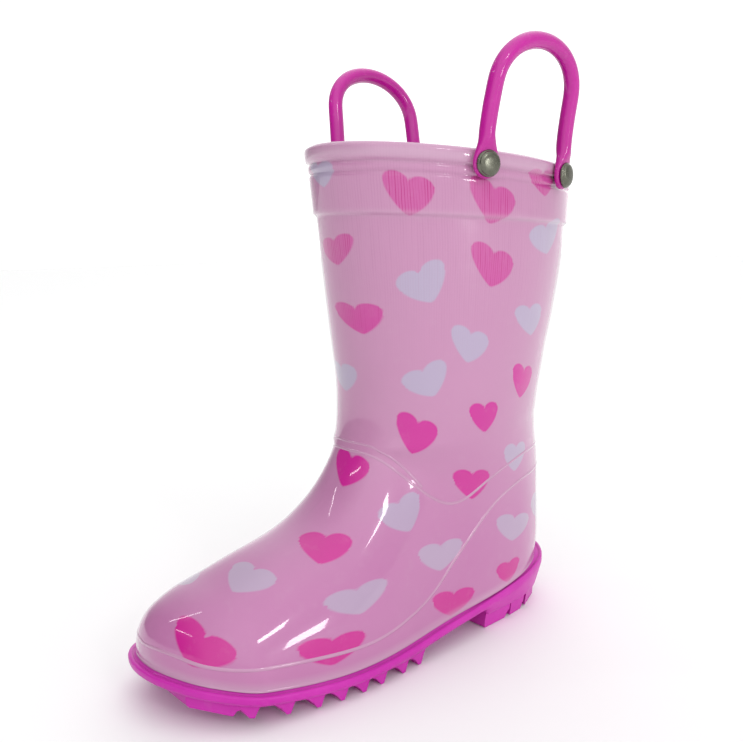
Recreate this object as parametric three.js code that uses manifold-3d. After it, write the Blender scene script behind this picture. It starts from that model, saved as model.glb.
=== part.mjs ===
// A child's left rain boot: a clear moulded shell over a printed knit sock, a lugged outsole with
// a heel, a footbed, and two pull handles held to the cuff by capped rivets.
// Millimetres. The toe points along -Y, the heel along +Y, and the boot stands on z = 0.
import * as THREE from "three";
import { mergeVertices } from "three/addons/utils/BufferGeometryUtils.js";
import Module from "manifold-3d";

// ---- Driving dimensions ----
const SHELL_TOP = 191.4; // rim height over the ground at the middle of the boot
const RIM_TILT = -0.078; // rise of the rim per mm towards the heel
const RIM_HALF_WIDTH = 41.8;
const RIM_FRONT = -20.3;
const RIM_BACK = 97.8;
const ANKLE_HALF_WIDTH = 36.4;
const HEEL_HALF_WIDTH = 25;
const TOE_END = -96.2; // front of the upper at the feather line
const HEEL_END = 86.4; // back of the sole outline
const INFLARE = -12.2; // how far the toe swings inwards, towards -X
const TOE_SPRING = 8.7; // lift of the sole at the toe
const STRAIGHT_LEVEL = 13.5; // feather height that the level lines settle to at the rim

const SHELL_WALL = 2.5;
const SOCK_WALL = 1.2;
const SOCK_GAP = 0.7; // between the shell and the sock
const GAP = 0.3;
const CUFF_HEIGHT = 23;
const CUFF_PROUD = 1.2;
const LIP_HEIGHT = 6;
const LIP_PROUD = 2;

const LIP_OUT = 2.9; // how far the outsole's welt stands out from the upper
const LUG_DEPTH = 4.5;
const HEEL_BREAST = 36.5;

const BOARD_THICK = 1.2;
const FOAM_THICK = 4;
const CLOTH_THICK = 0.9;

const CORD_RADIUS = 3;
const HANDLE_HEIGHT = 44.4; // apex of the loop over the rivets
const HANDLE_LEAN = { lateral: [6, 2.8], medial: [4.7, 0.6] }; // how far each apex leans out and back
const HANDLE_TAPER = 0.06; // share of its width that a handle loses by its apex
const RIVET_SPACING = 40.8;
const RIVET_MIDDLE = 40; // y midway between a handle's two rivets
const RIVET_DROP = 4.8; // rivets sit this far below the rim
const FLEX_RISE = 9.5; // the loop bends this far above its rivets
const TAB_RADIUS = 5.3;
const TAB_THICK = 2.6;
const CAP_RADIUS = 4.8;
const STEM_RADIUS = 1.6;
const HOLE_RADIUS = 2;

const HALF_STEPS = 21; // points along each side of a level line
const TOP_LEVEL = SHELL_TOP - STRAIGHT_LEVEL;

const wasm = await Module();
wasm.setup();

// ---- Curves ----

// A smooth curve through [x, y] points that never overshoots them (monotone cubic).
function smoothCurve(points) {
  const slope = points.slice(1).map(([x, y], i) => (y - points[i][1]) / (x - points[i][0]));
  const tangent = points.map((point, i) => {
    if (i === 0) return slope[0];
    if (i === points.length - 1) return slope[i - 1];
    const [a, b] = [slope[i - 1], slope[i]];
    return a * b <= 0 ? 0 : (2 * a * b) / (a + b);
  });
  return (x) => {
    if (x <= points[0][0]) return points[0][1];
    if (x >= points[points.length - 1][0]) return points[points.length - 1][1];
    const i = points.findIndex(([end]) => end > x) - 1;
    const width = points[i + 1][0] - points[i][0];
    const s = (x - points[i][0]) / width;
    const [start, end] = [points[i][1], points[i + 1][1]];
    const ease = s * s * (3 - 2 * s);
    const bend = s * (1 - s) * width;
    return start + (end - start) * ease + bend * ((1 - s) * tangent[i] - s * tangent[i + 1]);
  };
}

const clamp01 = (x) => Math.min(1, Math.max(0, x));

// Height of the line along the top of the foot, over the feather line, and its inverse.
const CREST = [
  [TOE_END, 0], [-95.6, 8], [-91.8, 15.4], [-83, 22.8], [-71.5, 29], [-58.5, 35.8],
  [-34.5, 46.6], [-10.5, 68], [17.5, 106], [55.5, 168],
];
const crestHeight = smoothCurve(CREST);
const crestPlace = smoothCurve(CREST.map(([y, height]) => [height, y]));

// The leg column's front line, back line and half width, by level over the feather line.
const legFront = smoothCurve([[0, 2.4], [105, -12.6], [TOP_LEVEL, RIM_FRONT]]);
const legBack = smoothCurve([
  [0, 83.6], [14, 85.4], [40, 85], [80, 81.6], [98, 84.2], [118, 89.6], [145, 95.2],
  [TOP_LEVEL, RIM_BACK],
]);
const legHalfWidth = smoothCurve([
  [0, 0.97 * HEEL_HALF_WIDTH], [30, HEEL_HALF_WIDTH], [90, ANKLE_HALF_WIDTH], [140, 40.4],
  [TOP_LEVEL, RIM_HALF_WIDTH],
]);

// The sole's half width, kept as its square so that both ends are round.
const soleHalfWidthSquared = smoothCurve(
  [
    [TOE_END, 0], [-93, 14.4], [-85.6, 25], [-71, 33], [-45.5, 33], [8.5, 28.2],
    [56.5, HEEL_HALF_WIDTH], [74.5, 0.78 * HEEL_HALF_WIDTH], [83.4, 0.42 * HEEL_HALF_WIDTH],
    [HEEL_END, 0],
  ].map(([y, width]) => [y, width * width]),
);
const soleHalfWidth = (y) => Math.sqrt(Math.max(0, soleHalfWidthSquared(y)));

// The foot's middle line swings inwards towards the toe.
const middle = (y) => INFLARE * clamp01((-3.5 - y) / 90) ** 2;
const toeLift = (y) => TOE_SPRING * clamp01((-33.5 - y) / 65) ** 2;
const featherBase = smoothCurve([[-98, 9.2], [-33.5, 9.2], [21.5, 13.3], [91.5, 23.1]]);
const featherHeight = (y) => featherBase(y) + toeLift(y);

// ---- The boot's skin as a stack of level lines ----

const BLEND_LENGTH = 26; // how far the instep's hollow reaches

// One side of a level line: [y, half width] from the front to the back.
function levelLine(level) {
  const leg = legFront(level);
  const foot = crestPlace(level);
  const near = Math.max(BLEND_LENGTH - Math.abs(leg - foot), 0) / BLEND_LENGTH;
  const fillet = (near * near * BLEND_LENGTH) / 4;
  const front = Math.min(leg, foot) - fillet;
  const back = legBack(level);
  const legMiddle = (leg - fillet + back) / 2;
  const legRadius = (back - leg + fillet) / 2;
  const points = [];
  for (let i = 0; i <= HALF_STEPS; i++) {
    const y = front + ((back - front) * (1 - Math.cos((Math.PI * i) / HALF_STEPS))) / 2;
    const along = (y - legMiddle) / legRadius;
    const column = legHalfWidth(level) * Math.sqrt(Math.max(0, 1 - along * along));
    const heelShift = (HEEL_END - back) * clamp01((y - 40) / (back - 40));
    const crest = crestHeight(y + fillet);
    const dome = crest > level ? (1 - (level / crest) ** 2.3) ** (1 / 2.3) : 0;
    const footWidth = soleHalfWidth(y + fillet + heelShift) * dome;
    points.push([y, (column ** 9 + footWidth ** 9) ** (1 / 9)]);
  }
  points[0][1] = 0;
  points[HALF_STEPS][1] = 0;
  return points;
}

// A closed ring at one level: the front, the +X side, the back, then the -X side.
function levelRing(level) {
  const share = level / TOP_LEVEL;
  const side = levelLine(level);
  const place = ([y, width], sign) => {
    const low = featherHeight(y) * (1 - share) + STRAIGHT_LEVEL * share;
    const tilt = RIM_TILT * (y - 41.5) * share;
    return new THREE.Vector3(middle(y) * (1 - share) + sign * width, y, level + low + tilt);
  };
  const right = side.map((point) => place(point, 1));
  const left = side.slice(1, -1).reverse().map((point) => place(point, -1));
  return [...right, ...left];
}

// A ring moved along the skin's own normals; a negative distance goes inwards.
function offsetRing(level, distance) {
  const step = 0.5;
  const here = levelRing(level);
  const below = levelRing(Math.max(0, level - step));
  const above = levelRing(level + step);
  return here.map((point, i) => {
    const next = here[(i + 1) % here.length];
    const last = here[(i + here.length - 1) % here.length];
    const round = next.clone().sub(last);
    const up = above[i].clone().sub(below[i]);
    const normal = round.cross(up).normalize();
    return point.clone().addScaledVector(normal, distance);
  });
}

// ---- Solids ----

// Joins a run of rings that all have the same number of points, and closes both ends with
// strips that run from one side of the ring to the other.
function ringSolid(rings) {
  const count = rings[0].length;
  const half = count / 2;
  const positions = rings.flat().flatMap((p) => [p.x, p.y, p.z]);
  const faces = [];
  for (let r = 0; r + 1 < rings.length; r++) {
    for (let i = 0; i < count; i++) {
      const [a, b] = [r * count + i, r * count + ((i + 1) % count)];
      faces.push(a, b, b + count, a, b + count, a + count);
    }
  }
  const close = (start, flip) => {
    for (let i = 0; i < half; i++) {
      const [a, b] = [i, i + 1];
      const [c, d] = [(count - i) % count, count - i - 1];
      const corners = [[a, c, b], [b, c, d]].filter((t) => new Set(t).size === 3);
      corners.forEach((t) => {
        const turned = flip ? [t[0], t[2], t[1]] : t;
        faces.push(...turned.map((k) => start + k));
      });
    }
  };
  close(0, false);
  close((rings.length - 1) * count, true);
  const geometry = new THREE.BufferGeometry();
  geometry.setAttribute("position", new THREE.Float32BufferAttribute(positions, 3));
  geometry.setIndex(faces);
  return geometry;
}

function toManifold(geometry) {
  const bare = geometry.clone();
  bare.deleteAttribute("normal");
  bare.deleteAttribute("uv");
  const merged = mergeVertices(bare, 1e-4);
  return new wasm.Manifold(
    new wasm.Mesh({
      numProp: 3,
      vertProperties: merged.attributes.position.array,
      triVerts: new Uint32Array(merged.index.array),
    }),
  );
}

function fromManifold(solid) {
  const mesh = solid.getMesh();
  const geometry = new THREE.BufferGeometry();
  geometry.setAttribute("position", new THREE.BufferAttribute(mesh.vertProperties, 3));
  geometry.setIndex(new THREE.BufferAttribute(mesh.triVerts, 1));
  return geometry;
}

const join = (...parts) => fromManifold(parts.map(toManifold).reduce((a, b) => a.add(b)));

function cut(geometry, tools) {
  return fromManifold(tools.map(toManifold).reduce((a, b) => a.subtract(b), toManifold(geometry)));
}

// ---- Rivet places on the cuff ----

// A place on the skin at a given level and y, with the outward normal; side is +1 or -1.
function skinPlace(level, y, side) {
  const near = (lvl, where) => {
    const line = levelLine(lvl);
    const i = line.findIndex((point) => point[0] > where);
    const share = (where - line[i - 1][0]) / (line[i][0] - line[i - 1][0]);
    const width = line[i - 1][1] + share * (line[i][1] - line[i - 1][1]);
    const rise = lvl / TOP_LEVEL;
    const low = featherHeight(where) * (1 - rise) + STRAIGHT_LEVEL * rise;
    const height = lvl + low + RIM_TILT * (where - 41.5) * rise;
    return new THREE.Vector3(side * width, where, height);
  };
  const point = near(level, y);
  const along = near(level, y + 2).sub(near(level, y - 2));
  const up = near(level, y).sub(near(level - 4, y));
  const normal = along.cross(up).normalize();
  if (normal.x * side < 0) normal.negate();
  return { point, normal };
}

const SIDES = [["lateral", 1], ["medial", -1]];
const ENDS = [["front", -0.5], ["rear", 0.5]];
const places = SIDES.flatMap(([sideName, side]) =>
  ENDS.map(([endName, end]) => {
    const y = RIVET_MIDDLE + end * RIVET_SPACING;
    const spot = skinPlace(TOP_LEVEL - RIVET_DROP, y, side);
    return { name: `${sideName}_${endName}`, sideName, side, ...spot };
  }),
);

// A piece of turned work on a rivet's axis: the profile is [radius, distance from the skin].
function turned(profile, place, segments = 20) {
  const outline = profile.map(([radius, height]) => new THREE.Vector2(radius, height));
  const geometry = new THREE.LatheGeometry(outline, segments);
  const turn = new THREE.Quaternion().setFromUnitVectors(new THREE.Vector3(0, 1, 0), place.normal);
  geometry.applyQuaternion(turn);
  geometry.translate(place.point.x, place.point.y, place.point.z);
  return geometry;
}

const drill = (place, from, to) =>
  turned([[0, from], [HOLE_RADIUS, from], [HOLE_RADIUS, to], [0, to]], place, 14);

// ---- Upper shell and sock ----

const UPPER_LEVELS = [
  0, 4, 8, 12, 16, 20, 24, 27.5, 31, 34, 37, 41, 46, 53, 60, 67, 74, 82, 94, 108, 122,
  136, 147,
];
const cuffFoot = TOP_LEVEL - CUFF_HEIGHT;
const lipFoot = TOP_LEVEL - LIP_HEIGHT;

// The moulded shell: skin, thicker cuff band with its rolled lip, then the smooth inside.
function upperShell() {
  const outside = UPPER_LEVELS.map((level) => offsetRing(level, 0));
  const cuff = [
    [cuffFoot - 0.6, 0], [cuffFoot + 0.4, CUFF_PROUD], [lipFoot - 0.8, CUFF_PROUD],
    [lipFoot + 0.4, LIP_PROUD], [TOP_LEVEL - 0.7, LIP_PROUD], [TOP_LEVEL, LIP_PROUD - 0.8],
  ].map(([level, proud]) => offsetRing(level, proud));
  const floor = 3;
  const inLevels = [floor, ...UPPER_LEVELS.slice(2), cuffFoot, lipFoot, TOP_LEVEL];
  const inside = inLevels.reverse().map((level) => offsetRing(level, -SHELL_WALL));
  const holes = places.map((place) => drill(place, -SHELL_WALL - 4, LIP_PROUD + 4));
  return cut(ringSolid([...outside, ...cuff, ...inside]), holes);
}

function sockLining() {
  const outDepth = SHELL_WALL + SOCK_GAP;
  const inDepth = outDepth + SOCK_WALL;
  const levels = UPPER_LEVELS.slice(2);
  const top = TOP_LEVEL - 1.5;
  const outside = [3 + GAP, ...levels, cuffFoot, lipFoot, top];
  const inside = [3 + GAP + SOCK_WALL, ...levels, cuffFoot, lipFoot, top].reverse();
  const rings = [
    ...outside.map((level) => offsetRing(level, -outDepth)),
    ...inside.map((level) => offsetRing(level, -inDepth)),
  ];
  const holes = places.map((place) => drill(place, -inDepth - 4, 4));
  return cut(ringSolid(rings), holes);
}

// ---- Outsole ----

const SOLE_STEPS = 44;

// The sole's outline, moved out by a distance, as a closed ring at heights given by a function.
function soleRing(distance, height) {
  const side = [];
  for (let i = 0; i <= SOLE_STEPS; i++) {
    const share = (1 - Math.cos((Math.PI * i) / SOLE_STEPS)) / 2;
    side.push(TOE_END + (HEEL_END - TOE_END) * (0.55 * share + (0.45 * i) / SOLE_STEPS));
  }
  const flat = [
    ...side.map((y) => [middle(y) + soleHalfWidth(y), y]),
    ...side.slice(1, -1).reverse().map((y) => [middle(y) - soleHalfWidth(y), y]),
  ];
  return flat.map(([x, y], i) => {
    const [nextX, nextY] = flat[(i + 1) % flat.length];
    const [lastX, lastY] = flat[(i + flat.length - 1) % flat.length];
    const normal = new THREE.Vector2(nextY - lastY, lastX - nextX).normalize();
    const out = typeof distance === "function" ? distance(y) : distance;
    const moved = [x + normal.x * out, y + normal.y * out];
    return new THREE.Vector3(moved[0], moved[1], height(y));
  });
}

// The underside of the sole plate: over the lugs, arched at the waist, over the heel block.
const plateFoot = smoothCurve([
  [-98, LUG_DEPTH], [-10, LUG_DEPTH], [4, 6.5], [HEEL_BREAST - 2, 9], [HEEL_BREAST + 1, 6], [98, 6],
]);
const plateHeight = (y) => plateFoot(y) + toeLift(y);

// A block across the whole sole, from the ground up into the plate, narrower at the ground.
function treadBar(y, lengthAtTop, lengthAtGround, depth) {
  const top = depth + 1.5;
  const outline = new THREE.Shape([
    new THREE.Vector2(-lengthAtTop / 2, top),
    new THREE.Vector2(-lengthAtGround / 2, 0),
    new THREE.Vector2(lengthAtGround / 2, 0),
    new THREE.Vector2(lengthAtTop / 2, top),
  ]);
  const width = 120;
  const bar = new THREE.ExtrudeGeometry(outline, { depth: width, bevelEnabled: false });
  bar.translate(0, 0, -width / 2);
  bar.applyMatrix4(new THREE.Matrix4().set(0, 0, 1, 0, 1, 0, 0, y, 0, 1, 0, toeLift(y), 0, 0, 0, 1));
  return bar;
}

const FOREFOOT_LUGS = [-90, -78.8, -67, -55.5, -45.5, -36, -27, -16.5, -6.5];
const HEEL_LUGS = [[43.5, 14.4], [58.5, 8.6], [74, 15]];

function outsole() {
  const under = (y) => featherHeight(y) - GAP;
  const plate = ringSolid([
    soleRing(-1.5, plateHeight),
    soleRing(0.4, (y) => plateHeight(y) + 0.8),
    soleRing(LIP_OUT - 0.6, (y) => under(y) - 2.6),
    soleRing(LIP_OUT, (y) => under(y) - 1.9),
    soleRing(LIP_OUT, (y) => under(y) - 0.5),
    soleRing(LIP_OUT - 0.5, under),
  ]);
  const inset = (y) => 0.4 - 4.4 * clamp01((y - 20) / 14);
  const core = toManifold(ringSolid([soleRing(inset, () => -5), soleRing((y) => inset(y) / 3, () => 26)]));
  const bars = [
    ...FOREFOOT_LUGS.map((y) => treadBar(y, 9.4, 3.6, LUG_DEPTH)),
    ...HEEL_LUGS.map(([y, length]) => treadBar(y, length, length - 1.6, 6)),
  ];
  const lugs = bars.map((bar) => toManifold(bar).intersect(core));
  return fromManifold(lugs.reduce((a, b) => a.add(b), toManifold(plate)));
}

// ---- Footbed ----

// A flat layer inside the sock between two levels, kept clear of the sock all round.
function insoleLayer(from, thick, inset) {
  const outline = offsetRing(12, -(SHELL_WALL + GAP + SOCK_WALL + inset));
  const at = (level) =>
    outline.map((p) => new THREE.Vector3(p.x, p.y, featherHeight(p.y) + level));
  return ringSolid([at(from), at(from + thick)]);
}

// ---- Handles ----

const TAB_OFFSET = LIP_PROUD + 0.4 + TAB_THICK / 2;
const LEG_OFFSET = TAB_OFFSET + 0.6;
const UP = new THREE.Vector3(0, 0, 1);

const flexPoint = (place) =>
  place.point.clone().addScaledVector(place.normal, LEG_OFFSET).addScaledVector(UP, FLEX_RISE);

// The part of a handle that bends: a round cord up one leg, over the arch and down the other.
function handleLoop(front, rear) {
  const [start, end] = [flexPoint(front), flexPoint(rear)];
  const rise = HANDLE_HEIGHT - FLEX_RISE;
  const archRise = 17;
  const points = [];
  const steps = 14;
  for (let i = 0; i <= steps; i++) {
    const angle = (Math.PI * i) / steps;
    const across = -Math.cos(angle);
    const height = rise - archRise + archRise * Math.sin(angle) ** 0.9;
    const narrow = 1 - HANDLE_TAPER * (height / rise);
    const point = start.clone().lerp(end, 0.5 + 0.5 * across * narrow);
    point.addScaledVector(UP, height);
    const [leanOut, leanBack] = HANDLE_LEAN[front.sideName];
    point.x += front.side * leanOut * (height / rise) ** 1.3;
    point.y += leanBack * (height / rise) ** 1.3;
    points.push(point);
  }
  const low = (from, to) => from.clone().lerp(to, 0.5);
  const path = new THREE.CatmullRomCurve3(
    [start, low(start, points[0]), ...points, low(end, points[steps]), end], false, "centripetal");
  const round = new THREE.Shape().absarc(0, 0, CORD_RADIUS, 0, 2 * Math.PI);
  const cord = new THREE.ExtrudeGeometry(round, {
    steps: 44, curveSegments: 10, extrudePath: path, bevelEnabled: false,
  });
  const knobs = [start, end].map((p) =>
    new THREE.SphereGeometry(CORD_RADIUS - 0.05, 12, 8).translate(p.x, p.y, p.z));
  return join(cord, ...knobs);
}

// The flat end of a handle leg, which its rivet clamps to the cuff: [height over the rivet,
// half width, half thickness, distance from the skin] from the rounded foot to the neck.
function handleTab(place) {
  const half = TAB_THICK / 2;
  const reach = FLEX_RISE - CORD_RADIUS - 0.35;
  const sections = [
    [-TAB_RADIUS, 1.4, 0.7, TAB_OFFSET], [-4.8, 2.7, half - 0.2, TAB_OFFSET],
    [-3.2, 4.3, half, TAB_OFFSET], [0, TAB_RADIUS, half, TAB_OFFSET],
    [2.6, 4.7, half, TAB_OFFSET], [5, 3.7, half, TAB_OFFSET],
    [reach, CORD_RADIUS, CORD_RADIUS - 0.6, LEG_OFFSET - 0.4],
  ];
  const across = UP.clone().cross(place.normal).normalize();
  const upward = place.normal.clone().cross(across);
  const count = 16;
  const rings = sections.map(([height, wide, thick, away]) => {
    const ring = [];
    for (let i = 0; i < count; i++) {
      const angle = (-2 * Math.PI * i) / count;
      const bulge = (v) => Math.sign(v) * Math.abs(v) ** 0.75;
      ring.push(
        place.point.clone()
          .addScaledVector(upward, height)
          .addScaledVector(place.normal, away + thick * bulge(Math.sin(angle)))
          .addScaledVector(across, wide * bulge(Math.cos(angle))),
      );
    }
    return ring;
  });
  return cut(ringSolid(rings), [drill(place, 0, 9)]);
}

// ---- Rivets ----

const CAP_FOOT = TAB_OFFSET + TAB_THICK / 2 + GAP;
const SOCK_FACE = -(SHELL_WALL + GAP + SOCK_WALL);

function rivetCap(place) {
  const foot = CAP_FOOT;
  const bore = foot + 1.6;
  return turned(
    [
      [0, bore], [HOLE_RADIUS, bore], [HOLE_RADIUS, foot], [CAP_RADIUS - 0.2, foot],
      [CAP_RADIUS, foot + 0.4], [CAP_RADIUS - 0.3, foot + 1.1], [CAP_RADIUS - 1.3, foot + 2],
      [1.8, foot + 2.6], [0, foot + 2.8],
    ],
    place,
  );
}

function rivetPost(place) {
  const head = SOCK_FACE - 1.9;
  const tip = CAP_FOOT + 1.3;
  return turned(
    [[0, head - 0.9], [3.6, head - 0.9], [3.9, head], [STEM_RADIUS, head], [STEM_RADIUS, tip], [0, tip]],
    place,
  );
}

function rivetWasher(place) {
  const top = SOCK_FACE - 0.7;
  return turned(
    [[HOLE_RADIUS, top - 0.8], [4.6, top - 0.8], [4.6, top], [HOLE_RADIUS, top], [HOLE_RADIUS, top - 0.8]],
    place,
  );
}

// ---- Materials ----

const finish = (color, roughness, metalness = 0) =>
  new THREE.MeshStandardMaterial({ color, roughness, metalness });
const clearShell = finish(0xd2a9c6, 0.25);
clearShell.transparent = true;
clearShell.opacity = 0.6;
const knit = finish(0xcd99bc, 0.85);
const magentaRubber = finish(0xda5ebb, 0.4);
const handlePlastic = finish(0xcd31aa, 0.35);
const nickel = finish(0xb9b8ae, 0.3, 1);
const board = finish(0xb59a78, 0.9);
const foam = finish(0xe6dfe4, 0.9);
const cloth = finish(0xd7a3c4, 0.9);

// ---- The boot ----

const boot = new THREE.Group();

function add(name, geometry, material) {
  const mesh = new THREE.Mesh(geometry, material);
  mesh.name = name;
  boot.add(mesh);
}

add("upper_shell", upperShell(), clearShell);
add("sock_lining", sockLining(), knit);
add("outsole", outsole(), magentaRubber);

const bedFoot = 3 + SOCK_WALL + 2 * GAP + 0.9;
add("insole_board", insoleLayer(bedFoot, BOARD_THICK, 1.4), board);
add("footbed_foam", insoleLayer(bedFoot + BOARD_THICK + GAP, FOAM_THICK, 1.4), foam);
add("footbed_cloth", insoleLayer(bedFoot + BOARD_THICK + FOAM_THICK + 2 * GAP, CLOTH_THICK, 2.4), cloth);

for (const [sideName] of SIDES) {
  const [front, rear] = places.filter((place) => place.sideName === sideName);
  add(`${sideName}_handle_loop`, handleLoop(front, rear), handlePlastic);
  add(`${sideName}_handle_front_tab`, handleTab(front), handlePlastic);
  add(`${sideName}_handle_rear_tab`, handleTab(rear), handlePlastic);
}

for (const place of places) {
  add(`${place.name}_rivet_cap`, rivetCap(place), nickel);
  add(`${place.name}_rivet_post`, rivetPost(place), nickel);
  add(`${place.name}_rivet_washer`, rivetWasher(place), nickel);
}

export default boot;
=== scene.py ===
# A child's left rain boot: clear moulded shell over a heart-print knit sock, lugged magenta
# outsole, footbed, and two riveted pull handles with their flex points at the cuff.
import math

import bmesh
import bpy
import numpy as np
from mathutils import Matrix, Vector


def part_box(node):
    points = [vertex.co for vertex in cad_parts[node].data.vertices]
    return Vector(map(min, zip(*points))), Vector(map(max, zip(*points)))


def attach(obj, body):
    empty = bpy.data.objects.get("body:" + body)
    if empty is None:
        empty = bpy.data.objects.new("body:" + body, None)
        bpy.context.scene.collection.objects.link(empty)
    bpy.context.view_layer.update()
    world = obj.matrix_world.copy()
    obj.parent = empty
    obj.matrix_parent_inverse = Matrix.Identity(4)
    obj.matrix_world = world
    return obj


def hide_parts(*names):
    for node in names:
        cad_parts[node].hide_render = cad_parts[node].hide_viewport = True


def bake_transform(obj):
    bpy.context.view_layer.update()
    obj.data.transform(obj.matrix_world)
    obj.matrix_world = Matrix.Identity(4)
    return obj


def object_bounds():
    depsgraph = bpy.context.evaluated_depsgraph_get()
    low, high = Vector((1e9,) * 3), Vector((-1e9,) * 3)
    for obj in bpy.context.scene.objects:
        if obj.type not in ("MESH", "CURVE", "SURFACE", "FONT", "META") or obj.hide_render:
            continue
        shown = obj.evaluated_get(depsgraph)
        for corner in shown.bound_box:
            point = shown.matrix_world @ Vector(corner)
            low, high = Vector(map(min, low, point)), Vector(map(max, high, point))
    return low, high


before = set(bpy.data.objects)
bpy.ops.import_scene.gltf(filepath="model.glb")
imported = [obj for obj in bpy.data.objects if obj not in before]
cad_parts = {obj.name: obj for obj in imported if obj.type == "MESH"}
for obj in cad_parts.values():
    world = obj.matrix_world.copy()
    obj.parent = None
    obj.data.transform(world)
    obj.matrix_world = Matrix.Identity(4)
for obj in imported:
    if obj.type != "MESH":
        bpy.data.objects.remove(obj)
cad_low, cad_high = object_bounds()
MM = 0.001
UP = np.array([0, 0, 1.0])

# ---- Design sizes, in millimetres, as in the CAD model ----
RIM_TILT = -0.078
RIM_PIVOT = 41.5
RIM_HALF_WIDTH = 41.8
RIM_FRONT = -20.3
RIM_BACK = 97.8
ANKLE_HALF_WIDTH = 36.4
HEEL_HALF_WIDTH = 25
TOE_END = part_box("upper_shell")[0].y / MM
HEEL_END = 86.4
INFLARE = -12.2
TOE_SPRING = 8.7
STRAIGHT_LEVEL = 13.5
SHELL_TOP = 191.4
TOP_LEVEL = SHELL_TOP - STRAIGHT_LEVEL
BLEND_LENGTH = 26
DOME_POWER = 2.3
JOIN_POWER = 9
SHELL_WALL = 2.5
SOCK_GAP = 0.7
SOCK_WALL = 1.2
BED_GAP = 0.3
HALF_ROUND = 170.0
CUFF_HEIGHT = 23
CUFF_PROUD = 1.2
LIP_PROUD = 2.0
LIP_HEIGHT = 5.6
SECOND_GROOVE = 9.2
LUG_DEPTH = 4.5
WALL_TOP = 2.25
HEEL_BREAST = 36.5
CORD_RADIUS = 3
TAB_RADIUS = 5.3
TAB_THICK = 2.6
HANDLE_HEIGHT = 44.4
FLEX_RISE = 9.5
ARCH_RISE = 17
BEND_REACH = 4.5
RIVET_SPACING = 40.8
RIVET_MIDDLE = 40
RIVET_DROP = 4.8


# ---- Curves ----
def smooth_curve(points):
    """A curve through (x, y) points that never overshoots them."""
    xs, ys = np.array(points, float).T
    slope = np.diff(ys) / np.diff(xs)
    inner = np.where(
        slope[:-1] * slope[1:] > 0,
        2 * slope[:-1] * slope[1:] / np.where(slope[:-1] + slope[1:] == 0, 1, slope[:-1] + slope[1:]),
        0,
    )
    tangent = np.concatenate([slope[:1], inner, slope[-1:]])

    def at(x):
        x = np.clip(np.asarray(x, float), xs[0], xs[-1])
        i = np.clip(np.searchsorted(xs, x, side="right") - 1, 0, len(xs) - 2)
        width = xs[i + 1] - xs[i]
        s = (x - xs[i]) / width
        ease = s * s * (3 - 2 * s)
        bend = s * (1 - s) * width
        return ys[i] + (ys[i + 1] - ys[i]) * ease + bend * ((1 - s) * tangent[i] - s * tangent[i + 1])

    return at


def smoothstep(low, high, x):
    s = np.clip((np.asarray(x, float) - low) / (high - low), 0, 1)
    return s * s * (3 - 2 * s)


def run_along(points):
    """Distance along a line of points, from its start."""
    return np.concatenate([[0], np.cumsum(np.linalg.norm(np.diff(points, axis=0), axis=1))])


def resample(points, run, places):
    """The line's values at the given distances along it."""
    return np.stack([np.interp(places, run, column) for column in np.transpose(points)], 1)


CREST = [
    (TOE_END, 0), (-95.6, 8), (-91.8, 15.4), (-83, 22.8), (-71.5, 29), (-58.5, 35.8),
    (-34.5, 46.6), (-10.5, 68), (17.5, 106), (55.5, 168),
]
crest_height = smooth_curve(CREST)
crest_place = smooth_curve([(height, y) for y, height in CREST])
leg_front = smooth_curve([(0, 2.4), (105, -12.6), (TOP_LEVEL, RIM_FRONT)])
leg_back = smooth_curve([
    (0, 83.6), (14, 85.4), (40, 85), (80, 81.6), (98, 84.2), (118, 89.6), (145, 95.2),
    (TOP_LEVEL, RIM_BACK),
])
leg_half_width = smooth_curve([
    (0, 0.97 * HEEL_HALF_WIDTH), (30, HEEL_HALF_WIDTH), (90, ANKLE_HALF_WIDTH), (140, 40.4),
    (TOP_LEVEL, RIM_HALF_WIDTH),
])
SOLE_OUTLINE = [
    (TOE_END, 0), (-93, 14.4), (-85.6, 25), (-71, 33), (-45.5, 33), (8.5, 28.2),
    (56.5, HEEL_HALF_WIDTH), (74.5, 0.78 * HEEL_HALF_WIDTH), (83.4, 0.42 * HEEL_HALF_WIDTH),
    (HEEL_END, 0),
]
sole_half_width_squared = smooth_curve([(y, width * width) for y, width in SOLE_OUTLINE])
feather_base = smooth_curve([(-98, 9.2), (-33.5, 9.2), (21.5, 13.3), (91.5, 23.1)])


def sole_half_width(y):
    return np.sqrt(np.maximum(0, sole_half_width_squared(y)))


def middle(y):
    return INFLARE * np.clip((-3.5 - y) / 90, 0, 1) ** 2


def toe_lift(y):
    return TOE_SPRING * np.clip((-33.5 - y) / 65, 0, 1) ** 2


def feather_height(y):
    return feather_base(y) + toe_lift(y)


def skin_height(level, y):
    """The height of a level line: level over the feather line, and along the rim at the top."""
    share = level / TOP_LEVEL
    low = feather_height(y) * (1 - share) + STRAIGHT_LEVEL * share
    return level + low + RIM_TILT * (y - RIM_PIVOT) * share


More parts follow.
